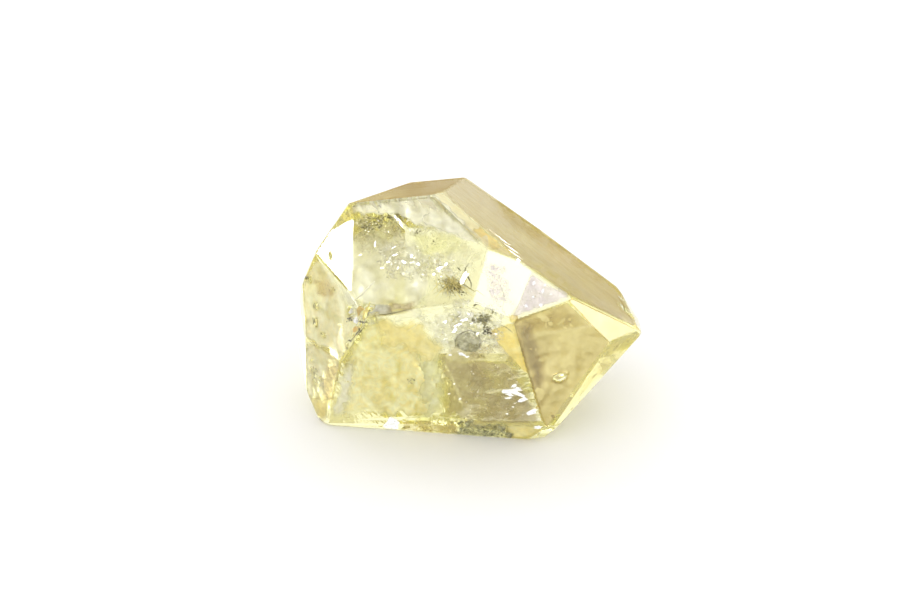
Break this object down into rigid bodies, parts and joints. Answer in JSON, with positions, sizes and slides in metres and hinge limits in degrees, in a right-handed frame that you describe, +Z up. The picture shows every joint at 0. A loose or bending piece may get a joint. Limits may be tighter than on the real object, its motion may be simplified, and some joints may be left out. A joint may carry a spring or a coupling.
{
  "type": "citrine crystal point",
  "caption": "Clear pale yellow quartz crystal point, a short polished six-sided prism with a faceted tip, resting on a flat face.",
  "frame": {"origin": "bottom centre of the stone's box, on the plane of the flat face that it rests on", "axes": "+X along the stone's longest extent, from its broken end towards its tip; +Z up from the resting face; -Y towards the two large front faces"},
  "size_m": [0.0416, 0.0354, 0.0295],
  "materials": {
    "citrine": "polished, clear, IOR 1.544, pale yellow through its thickness"
  },
  "bodies": {
    "root": {"citrine_point": "citrine"}
  },
  "joints": []
}
